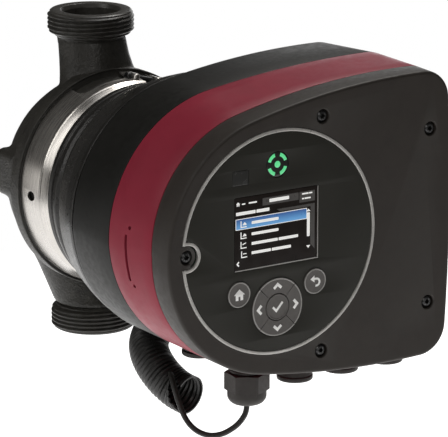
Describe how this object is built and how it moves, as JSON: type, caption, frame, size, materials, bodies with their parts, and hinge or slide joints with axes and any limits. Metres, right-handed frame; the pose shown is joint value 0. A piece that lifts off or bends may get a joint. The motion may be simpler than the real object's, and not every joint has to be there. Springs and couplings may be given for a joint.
{
  "type": "circulator pump",
  "caption": "Inline wet-rotor heating circulator: threaded cast housing, clamped motor, control box with display, keypad, cable gland and spinning impeller.",
  "frame": {"origin": "crossing of the pipe axis and the motor axis, halfway between the two port faces, where the pipework holds the pump", "axes": "+Z along the pipe towards the outlet, -Y along the motor axis towards the control panel, +X to the right seen from the panel"},
  "size_m": [0.184, 0.2379, 0.2048],
  "materials": {
    "cast_iron_black": "black electro-coated casting, fine sand-cast texture, satin",
    "motor_paint": "black powder paint on cast aluminium, semi-gloss",
    "box_plastic": "black glass-filled plastic, fine satin grain",
    "burgundy_plastic": "burgundy moulded plastic, fine satin grain",
    "cover_plastic": "black moulded plastic, fine spark-eroded grain",
    "panel_foil": "dark foil, low sheen",
    "silver_trim": "silver painted plastic",
    "key_plastic": "grey soft-touch keys with a lighter rim",
    "display_glass": "dark clear-coated window, glossy",
    "status_lens": "dark lens with green lit segments",
    "stainless_band": "rolled stainless strip, brushed along its length",
    "stainless_inner": "pressed stainless steel",
    "dark_steel": "black-finished steel",
    "rubber": "matte EPDM rubber",
    "ceramic": "ground ceramic, off-white",
    "carbon": "grey-black carbon",
    "can_composite": "carbon-fibre reinforced composite",
    "lamination_steel": "stacked steel sheet",
    "copper_wire": "enamelled copper wire",
    "circuit_board": "green solder mask",
    "capacitor_can": "bare aluminium can",
    "entry_plastic": "black polyamide, fine grain",
    "cable_jacket": "black flexible jacket, satin",
    "sleeve_plastic": "black corrugated polyamide, slit along its length"
  },
  "bodies": {
    "casing": {"bearing_plate": "stainless_inner", "blanking_plug_1": "entry_plastic", "blanking_plug_2": "entry_plastic", "blanking_plug_3": "entry_plastic", "blanking_plug_4": "entry_plastic", "cable_sleeve": "sleeve_plastic", "capacitor_lower": "capacitor_can", "capacitor_upper": "capacitor_can", "clamp_band": "stainless_band", "clamp_nut": "stainless_band", "clamp_screw": "dark_steel", "control_box": "box_plastic", "cover_screw_1": "dark_steel", "cover_screw_2": "dark_steel", "cover_screw_3": "dark_steel", "cover_screw_4": "dark_steel", "cover_screw_5": "dark_steel", "cover_seal": "rubber", "display_board": "circuit_board", "display_module": "lamination_steel", "display_window": "display_glass", "filter_choke": "copper_wire", "front_bearing": "ceramic", "front_cover": "cover_plastic", "gland_body": "entry_plastic", "gland_nut": "entry_plastic", "gland_seal": "rubber", "housing_gasket": "rubber", "ir_window": "display_glass", "neck_ring": "stainless_inner", "panel_disc": "panel_foil", "panel_ring": "silver_trim", "power_board": "circuit_board", "pump_housing": "cast_iron_black", "rear_bearing": "ceramic", "rotor_can": "can_composite", "sensor_body": "entry_plastic", "sensor_cable": "cable_jacket", "sensor_plug": "entry_plastic", "stator_core": "lamination_steel", "stator_housing": "motor_paint", "status_light": "status_lens", "terminal_block": "entry_plastic", "trim_band": "burgundy_plastic", "winding_front": "copper_wire", "winding_rear": "copper_wire"},
    "rotor": {"shaft": "ceramic", "impeller": "stainless_inner", "thrust_bearing": "carbon", "rotor_magnet": "lamination_steel"},
    "home_key": {"home_button": "key_plastic"},
    "back_key": {"back_button": "key_plastic"},
    "ok_key": {"ok_button": "key_plastic"},
    "up_key": {"up_button": "key_plastic"},
    "down_key": {"down_button": "key_plastic"},
    "left_key": {"left_button": "key_plastic"},
    "right_key": {"right_button": "key_plastic"}
  },
  "joints": [
    {"name": "rotor_spin", "type": "hinge", "parent": "casing", "child": "rotor", "pos_m": [0, -0.04, 0], "axis": [0, -1, 0], "continuous": true},
    {"name": "home_press", "type": "slide", "parent": "casing", "child": "home_key", "axis": [0, 1, 0], "range_m": [0, 0.0006], "stiffness_N_per_m": 2500},
    {"name": "back_press", "type": "slide", "parent": "casing", "child": "back_key", "axis": [0, 1, 0], "range_m": [0, 0.0006], "stiffness_N_per_m": 2500},
    {"name": "ok_press", "type": "slide", "parent": "casing", "child": "ok_key", "axis": [0, 1, 0], "range_m": [0, 0.0006], "stiffness_N_per_m": 2500},
    {"name": "up_press", "type": "slide", "parent": "casing", "child": "up_key", "axis": [0, 1, 0], "range_m": [0, 0.0006], "stiffness_N_per_m": 2500},
    {"name": "down_press", "type": "slide", "parent": "casing", "child": "down_key", "axis": [0, 1, 0], "range_m": [0, 0.0006], "stiffness_N_per_m": 2500},
    {"name": "left_press", "type": "slide", "parent": "casing", "child": "left_key", "axis": [0, 1, 0], "range_m": [0, 0.0006], "stiffness_N_per_m": 2500},
    {"name": "right_press", "type": "slide", "parent": "casing", "child": "right_key", "axis": [0, 1, 0], "range_m": [0, 0.0006], "stiffness_N_per_m": 2500}
  ]
}
